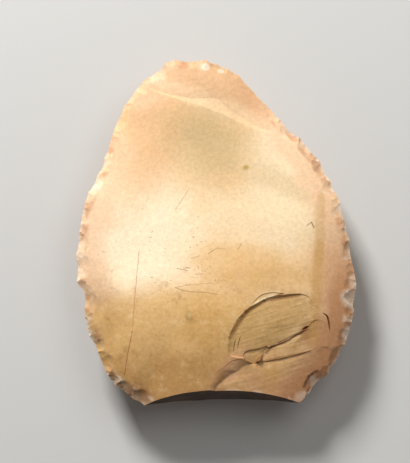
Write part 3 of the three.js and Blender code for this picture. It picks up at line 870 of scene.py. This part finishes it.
# Where a mask starts and where it is full, on the scale of what it is made from
fades = {
    "lineSide": (1, 0.25),
    "lineBreaks": (0.2, 0.42),
    "specks": (0.86, 0.98),
    "creaseShade": (0.86, 0.5),
    "mottle": (0.44, 0.74),
    "darkBlots": (0.52, 0.72),
    "paleBlots": (0.48, 0.3),
    "stainedScars": (0.48, 0.62),
    "paleScars": (0.46, 0.34),
    "buttClouds": (0.4, 0.7),
    "freshEdge": (0.42, 0.55),
    "grain": (0.25, 0.75),
    "streaks": (0.48, 0.64),
    "roughness": (0.3, 0.7),
    # how far a surface faces up or, for the butt, towards -Y
    "fromAbove": (0, 0.35),
    "facingButt": (0.5, 0.8),
    "underneath": (-0.1, -0.45),
    "flatUnderneath": (-0.9, -0.985),
    "notFlat": (0.995, 0.95),
}


def treeOf(*values):
    # the node tree of the first socket among the values
    return next(v.id_data for v in values if isinstance(v, bpy.types.NodeSocket))


def maths(operation, *values, clamp=False):
    node = treeOf(*values).nodes.new("ShaderNodeMath")
    node.operation = operation
    node.use_clamp = clamp
    for i, value in enumerate(values):
        put(node, i, value)
    return node.outputs[0]


def vectors(operation, *values, scale=None):
    node = treeOf(*values).nodes.new("ShaderNodeVectorMath")
    node.operation = operation
    for i, value in enumerate(values):
        put(node, i, value)
    if scale is not None:
        put(node, 3, scale)
    return node.outputs["Value" if operation in ("LENGTH", "DOT_PRODUCT") else "Vector"]


def soft(value, start, end, low=0.0, high=1.0):
    node = treeOf(value).nodes.new("ShaderNodeMapRange")
    node.interpolation_type = "SMOOTHSTEP"
    for i, number in enumerate((value, start, end, low, high)):
        put(node, i, number)
    return node.outputs[0]


def blend(factor, under, over):
    node = treeOf(factor).nodes.new("ShaderNodeMix")
    node.data_type = "RGBA"
    put(node, 0, factor)
    put(node, 6, under)
    put(node, 7, over)
    return node.outputs[2]


def times(one, other):
    return maths("MULTIPLY", one, other)


def layer(colour, mask, tone, strength):
    # lays a tone over the colour where the mask is
    return blend(times(mask, strength), colour, linear(tone))


def noiseValue(place, name):
    node = treeOf(place).nodes.new("ShaderNodeTexNoise")
    put(node, "Vector", place)
    for socket, value in zip(("Scale", "Detail", "Roughness", "Distortion"), noises[name]):
        put(node, socket, value)
    return node.outputs["Fac"]


def newGroup(name, inputs, outputs):
    # inputs and outputs: name and socket type
    tree = bpy.data.node_groups.new(name, "ShaderNodeTree")
    for title, kind in inputs:
        tree.interface.new_socket(title, in_out="INPUT", socket_type="NodeSocket" + kind)
    for title, kind in outputs:
        tree.interface.new_socket(title, in_out="OUTPUT", socket_type="NodeSocket" + kind)
    return tree, tree.nodes.new("NodeGroupInput").outputs, tree.nodes.new("NodeGroupOutput")


def patchGroup():
    inputs = [("Place", "Vector"), ("Middle", "Vector"), ("Half Size", "Vector"),
              ("Turn", "Float"), ("Raggedness", "Float"), ("Softness", "Float")]
    tree, given, out = newGroup("stone patch", inputs, [("Mask", "Float")])
    # the nodes are made in the order in which they are worked out, which keeps the shader small
    offset = vectors("SUBTRACT", given["Place"], given["Middle"])
    angle = times(given["Turn"], -1.0)
    turn = tree.nodes.new("ShaderNodeVectorRotate")
    turn.rotation_type = "Z_AXIS"
    put(turn, "Vector", offset)
    put(turn, "Angle", angle)
    flat = vectors("MULTIPLY", turn.outputs[0], (1.0, 1.0, 0.0))
    away = vectors("LENGTH", vectors("DIVIDE", flat, given["Half Size"]))
    rough = noiseValue(given["Place"], "patchRims")
    shift = times(maths("SUBTRACT", rough, 0.5), given["Raggedness"])
    away = maths("MULTIPLY_ADD", shift, 3.0, away)
    outer, inner = (maths(kind, 1.0, given["Softness"]) for kind in ("ADD", "SUBTRACT"))
    put(out, "Mask", soft(away, outer, inner))
    return tree


def lineGroup():
    inputs = [("Place", "Vector"), ("Start", "Vector"), ("End", "Vector"), ("Width", "Float"),
              ("Waviness", "Float")]
    tree, given, out = newGroup("stone line", inputs, [("Mask", "Float")])
    warp = tree.nodes.new("ShaderNodeTexNoise")
    put(warp, "Vector", given["Place"])
    put(warp, "Scale", 130.0)
    shift = vectors("SUBTRACT", warp.outputs["Color"], (0.5, 0.5, 0.5))
    shift = vectors("SCALE", shift, scale=given["Waviness"])
    place = vectors("ADD", given["Place"], shift)
    place = vectors("MULTIPLY", place, (1.0, 1.0, 0.0))
    fromStart = vectors("SUBTRACT", place, given["Start"])
    run = vectors("SUBTRACT", given["End"], given["Start"])
    share = maths("DIVIDE", vectors("DOT_PRODUCT", fromStart, run),
                  vectors("DOT_PRODUCT", run, run), clamp=True)
    passed = vectors("SCALE", run, scale=share)
    away = vectors("LENGTH", vectors("SUBTRACT", fromStart, passed))
    near = soft(maths("DIVIDE", away, given["Width"]), *fades["lineSide"])
    broken = soft(noiseValue(given["Place"], "lineBreaks"), *fades["lineBreaks"])
    put(out, "Mask", times(near, broken))
    return tree


def grainGroup():
    tree, given, out = newGroup("stone grain", [("Place", "Vector"), ("Size", "Float")],
                                [("Mottle", "Float"), ("Grain", "Float"), ("Specks", "Float")])
    place = vectors("SCALE", given["Place"], scale=maths("DIVIDE", 1.0, given["Size"]))
    put(out, "Mottle", noiseValue(place, "mottle"))
    put(out, "Grain", noiseValue(place, "grain"))
    specks = noiseValue(place, "specks")
    rare = noiseValue(place, "speckAreas")
    put(out, "Specks", soft(maths("MULTIPLY_ADD", rare, 0.35, specks), *fades["specks"]))
    return tree


# Painted shade: occlusion darkens the colour in creases and hollows, where little light reaches
def creaseShadeGroup():
    tree, given, out = newGroup("stone crease shade", [("Reach", "Float")], [("Mask", "Float")])
    shade = tree.nodes.new("ShaderNodeAmbientOcclusion")
    shade.samples = 12
    put(shade, "Distance", given["Reach"])
    put(out, "Mask", soft(shade.outputs["AO"], *fades["creaseShade"]))
    return tree


def useGroup(tree, group, **values):
    node = tree.nodes.new("ShaderNodeGroup")
    node.node_tree = group
    for title, value in values.items():
        put(node, title.replace("_", " "), value)
    return node.outputs


def patchMask(at, centre, half, turn, ragged, softness):
    size = (half[0] * 0.001, half[1] * 0.001, 1.0)
    return useGroup(at.tree, at.patchShape, Place=at.place, Middle=metres(centre), Half_Size=size,
                    Turn=math.radians(turn), Raggedness=ragged, Softness=softness)["Mask"]


# Where a zone starts and where it is full, in millimetres: along the stone, across it,
# in from its edge, or up from where it rests
zones = {
    "stainedEnd": (8, -12),
    "leftSide": (-5, -30),
    "rightSide": (5, 30),
    "lowEnd": (4, -24),
    "rim": (20.5, 12.5),
    "pinkLeft": (-34, -12),
    "greyRim": (11, 6),
    "greyLeft": (-22, -42),
    "workedRim": (5.2, 3.6),
    "awayFromTip": (50, 30),
    "butt": (-45, -55),
    "aboveButt": (-59, -55),
    "resting": (2.2, 0.9),
    "freshEdge": (1.4, 0.6),
    "freshBreak": (7.5, 5),
}


def zone(value, name, low=0.0, high=1.0):
    start, full = zones[name]
    return soft(value, start * 0.001, full * 0.001, low, high)


def surfaceInputs(tree):
    # what the layers below are placed by
    place = tree.nodes.new("ShaderNodeTexCoord").outputs["Object"]
    normal = tree.nodes.new("ShaderNodeNewGeometry").outputs["Normal"]
    margin = tree.nodes.new("ShaderNodeAttribute")
    margin.attribute_name = "margin"
    at = SimpleNamespace(tree=tree, place=place, margin=margin.outputs["Fac"])
    at.patchShape = patchGroup()
    at.grain = useGroup(tree, grainGroup(), Place=place, Size=0.001)
    at.facingUp = vectors("DOT_PRODUCT", normal, (0.0, 0.0, 1.0))
    at.facingButt = vectors("DOT_PRODUCT", normal, (0.0, -1.0, 0.0))
    at.fromAbove = soft(at.facingUp, *fades["fromAbove"])
    apart = tree.nodes.new("ShaderNodeSeparateXYZ")
    put(apart, 0, place)
    at.x, at.y, at.z = apart.outputs
    return at


def stainsAndPaintedLight(at):
    tone, strength = patinaAndShade["mottle"]
    mottle = soft(at.grain["Mottle"], *fades["mottle"], 0.0, strength)
    colour = blend(mottle, linear(patinaAndShade["base"]), linear(tone))
    # the patches are stains, with painted highlights and painted shade among them
    for centre, half, turn, tone, strength, ragged, softness in patches.values():
        mask = patchMask(at, centre, half, turn, ragged, softness)
        colour = layer(colour, times(mask, at.fromAbove), tone, strength)
    return colour


def blots(at, colour):
    # the stained end is mottled in small dark and pale blots
    lumps = noiseValue(at.place, "blots")
    along = maths("MULTIPLY_ADD", at.grain["Mottle"], 0.03, at.y)
    stainedEnd = times(zone(along, "stainedEnd"), at.fromAbove)
    share = times(stainedEnd, patinaAndShade["blotStrength"])
    dark = times(soft(lumps, *fades["darkBlots"]), share)
    colour = blend(dark, colour, linear(patinaAndShade["blotDark"]))
    pale = times(soft(lumps, *fades["paleBlots"]), share)
    return blend(pale, colour, linear(patinaAndShade["blotPale"]))


def rimTints(at, colour):
    # the broad rim is pink, browner at the lower right and greyer at the lower left
    inset = maths("MULTIPLY_ADD", at.uneven, 0.012, at.margin)
    right, left = (zone(at.x, side) for side in ("rightSide", "leftSide"))
    lowEnd = zone(at.y, "lowEnd")
    rim = zone(inset, "rim")
    pinkRight = times(rim, right)
    colour = layer(colour, pinkRight, *patinaAndShade["pinkRight"])
    colour = layer(colour, times(pinkRight, lowEnd), *patinaAndShade["brownRight"])
    pinkLeft = times(times(rim, left), zone(at.y, "pinkLeft"))
    colour = layer(colour, pinkLeft, *patinaAndShade["pinkLeft"])
    greyLeft = times(zone(inset, "greyRim"), left)
    greyLeft = times(greyLeft, zone(at.y, "greyLeft"))
    return layer(colour, greyLeft, *patinaAndShade["greyLeft"])


def rimScars(at, colour):
    # the worked rim is stained scar by scar
    scarTone = noiseValue(at.place, "rimScars")
    inset = maths("MULTIPLY_ADD", at.uneven, 0.002, at.margin)
    onRim = zone(inset, "workedRim")
    tone, strength = patinaAndShade["rimStain"]
    stained = times(onRim, soft(scarTone, *fades["stainedScars"], 0.0, strength))
    colour = blend(stained, colour, linear(tone))
    tone, strength = patinaAndShade["rimPale"]
    pale = times(onRim, soft(scarTone, *fades["paleScars"], 0.0, strength))
    return blend(times(pale, at.awayFromTip), colour, linear(tone))


def drawnLines(at, colour):
    shape = lineGroup()
    for start, end, width, wavy, tone, strength in lines.values():
        mask = useGroup(at.tree, shape, Place=at.place, Start=metres(start), End=metres(end),
                        Width=width * 0.001, Waviness=wavy * 0.001)["Mask"]
        colour = layer(colour, times(mask, at.fromAbove), tone, strength)
    return colour


def buttShade(at, colour):
    # painted shade: the struck butt, which faces away from the light, is painted dark brown as if in
    # shadow
    mask = times(soft(at.facingButt, *fades["facingButt"]), zone(at.y, "butt"))
    cloudy = soft(noiseValue(at.place, "buttClouds"), *fades["buttClouds"])
    tone = blend(cloudy, linear(patinaAndShade["buttShadeDark"]), linear(patinaAndShade["buttShadeLight"]))
    return blend(times(mask, patinaAndShade["buttShadeStrength"]), colour, tone)


def rindMask(at):
    # the resting side keeps some of the rough rind
    height = maths("MULTIPLY_ADD", at.uneven, 0.0016, at.z)
    resting = zone(height, "resting")
    return times(resting, soft(at.facingUp, *fades["flatUnderneath"]))


def freshMask(at):
    # the smallest chips and the young breaks have no stain
    edge = zone(at.margin, "freshEdge")
    mask = times(edge, soft(noiseValue(at.place, "freshEdge"), *fades["freshEdge"]))
    mask = times(mask, zone(at.y, "aboveButt", 0.0, 0.85))
    mask = times(mask, at.awayFromTip)
    for centre, half, turn in freshBreaks.values():
        young = patchMask(at, centre, half, turn, 0.2, 0.3)
        young = times(young, zone(at.margin, "freshBreak"))
        mask = maths("MAXIMUM", mask, young)
    mask = times(mask, soft(at.facingUp, *fades["notFlat"]))
    return times(mask, patinaAndShade["freshStrength"])


def grainAndSpecks(at, colour):
    contrast = patinaAndShade["grainContrast"]
    light = soft(at.grain["Grain"], *fades["grain"], 1 - contrast, 1 + contrast * 0.5)
    tinted = vectors("SCALE", colour, scale=light)
    tone, strength = patinaAndShade["specks"]
    speckled = patchMask(at, *patinaAndShade["speckArea"])
    specks = times(at.grain["Specks"], times(speckled, strength))
    return blend(specks, tinted, linear(tone))


def floorStreaks(at):
    # fine lines that the blow left on the scar floors, and the mask of those floors
    alongScar = at.tree.nodes.new("ShaderNodeMapping")
    alongScar.vector_type = "TEXTURE"
    put(alongScar, "Vector", at.place)
    put(alongScar, "Rotation", (0.0, 0.0, math.radians(15)))
    put(alongScar, "Scale", (14.0, 1.0, 1.0))
    streaks = noiseValue(alongScar.outputs[0], "streaks")
    floors = patchMask(at, *patinaAndShade["streakArea"])
    return streaks, times(floors, at.fromAbove)


def surfaceRelief(at, streaks, rind):
    relief = at.tree.nodes.new("ShaderNodeBump")
    put(relief, "Strength", patinaAndShade["bump"])
    put(relief, "Distance", patinaAndShade["bumpHeight"] * 0.001)
    height = maths("MULTIPLY_ADD", at.grain["Grain"], 0.7, at.grain["Mottle"])
    height = maths("MULTIPLY_ADD", streaks, 1.6, height)
    pores = times(noiseValue(at.place, "pores"), rind)
    put(relief, "Height", maths("MULTIPLY_ADD", pores, 2.5, height))
    return relief.outputs[0]


def flint():
    material = bpy.data.materials.new("flint")
    material.use_nodes = True
    tree = material.node_tree
    at = surfaceInputs(tree)
    colour = stainsAndPaintedLight(at)
    colour = blots(at, colour)
    at.uneven = noiseValue(at.place, "uneven")
    at.awayFromTip = zone(at.y, "awayFromTip", 0.1)
    colour = rimTints(at, colour)
    colour = rimScars(at, colour)
    colour = drawnLines(at, colour)
    colour = buttShade(at, colour)
    below = soft(at.facingUp, *fades["underneath"])
    colour = layer(colour, below, *patinaAndShade["underside"])
    rind = rindMask(at)
    colour = layer(colour, rind, *patinaAndShade["rind"])
    fresh = freshMask(at)
    colour = blend(fresh, colour, linear(patinaAndShade["freshBreak"]))
    colour = grainAndSpecks(at, colour)
    streaks, floors = floorStreaks(at)
    tone, strength = patinaAndShade["streaks"]
    dark = soft(streaks, *fades["streaks"], 0.0, strength)
    colour = blend(times(dark, floors), colour, linear(tone))
    # painted shade in creases and hollows
    creaseShade = useGroup(tree, creaseShadeGroup(), Reach=patinaAndShade["creaseShadeReach"] * 0.001)["Mask"]
    colour = layer(colour, creaseShade, *patinaAndShade["creaseShade"])

    shader = tree.nodes["Principled BSDF"]
    put(shader, "Base Color", colour)
    rough = soft(at.grain["Mottle"], *fades["roughness"], *patinaAndShade["roughness"])
    put(shader, "Roughness", maths("MULTIPLY_ADD", fresh, 0.1, rough, clamp=True))
    put(shader, "Specular IOR Level", patinaAndShade["specular"])
    put(shader, "Normal", surfaceRelief(at, times(streaks, floors), rind))
    return material


axe = buildAxe()
axe.data.materials.clear()
axe.data.materials.append(flint())
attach(axe, "root")
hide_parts("hand_axe")
report("material")

# Camera over the lying stone, a little to the butt side
view = {"elevation": 84.0, "distance": 0.9, "frameHeight": 463, "frameMiddleX": 205.0,
        "stoneMiddleX": 216.0, "stoneTop": 57.6, "stoneBottom": 405.2}


def makeCamera():
    low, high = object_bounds()
    centre = (low + high) / 2
    perPixel = (high.y - low.y) / (view["stoneBottom"] - view["stoneTop"])
    data = bpy.data.cameras.new("camera")
    data.sensor_width = 36
    data.lens = data.sensor_width * view["distance"] / (perPixel * view["frameHeight"])
    camera = bpy.data.objects.new("camera", data)
    bpy.context.scene.collection.objects.link(camera)
    elevation = math.radians(view["elevation"])
    back = Vector((0, -math.cos(elevation), math.sin(elevation)))
    aim = centre - Vector(((view["stoneMiddleX"] - view["frameMiddleX"]) * perPixel, 0, 0))
    camera.location = aim + view["distance"] * back
    camera.rotation_mode = "QUATERNION"
    camera.rotation_quaternion = (-back).to_track_quat("-Z", "Y")
    bpy.context.scene.camera = camera


# Each light: place, size, power and tint
studio = {
    "lights": {
        "key": ((-0.38, 0.85, 0.62), 0.3, 17.1, (1, 0.98, 0.94)),
        "fill": ((0.5, 0.5, 1.0), 0.8, 3.6, (1, 0.95, 0.88)),
    },
    "roomTone": 0.9,
    "roomLight": 0.15,
    "floorSize": 4,
    "floorTone": 0.6,
    "floorRoughness": 0.8,
}


def softLight(name, place, size, power, tint):
    data = bpy.data.lights.new(name, "AREA")
    data.shape = "SQUARE"
    data.size = size
    data.energy = power
    data.color = tint
    lamp = bpy.data.objects.new(name, data)
    lamp.location = place
    lamp.rotation_mode = "QUATERNION"
    lamp.rotation_quaternion = (-Vector(place)).to_track_quat("-Z", "Y")
    bpy.context.scene.collection.objects.link(lamp)


def makeRoom():
    world = bpy.data.worlds.new("studio")
    world.use_nodes = True
    background = world.node_tree.nodes["Background"]
    put(background, "Color", (*[studio["roomTone"]] * 3, 1))
    put(background, "Strength", studio["roomLight"])
    bpy.context.scene.world = world
    bpy.context.scene.view_settings.view_transform = "Standard"


def makeFloor():
    bpy.ops.mesh.primitive_plane_add(size=studio["floorSize"])
    floor = bpy.context.object
    floor.name = "floor"
    material = bpy.data.materials.new("floor")
    material.use_nodes = True
    shader = material.node_tree.nodes["Principled BSDF"]
    put(shader, "Base Color", (*[studio["floorTone"]] * 3, 1))
    put(shader, "Roughness", studio["floorRoughness"])
    floor.data.materials.append(material)


makeCamera()
for name, light in studio["lights"].items():
    softLight(name, *light)
makeRoom()
makeFloor()

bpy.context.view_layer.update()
report("scene")
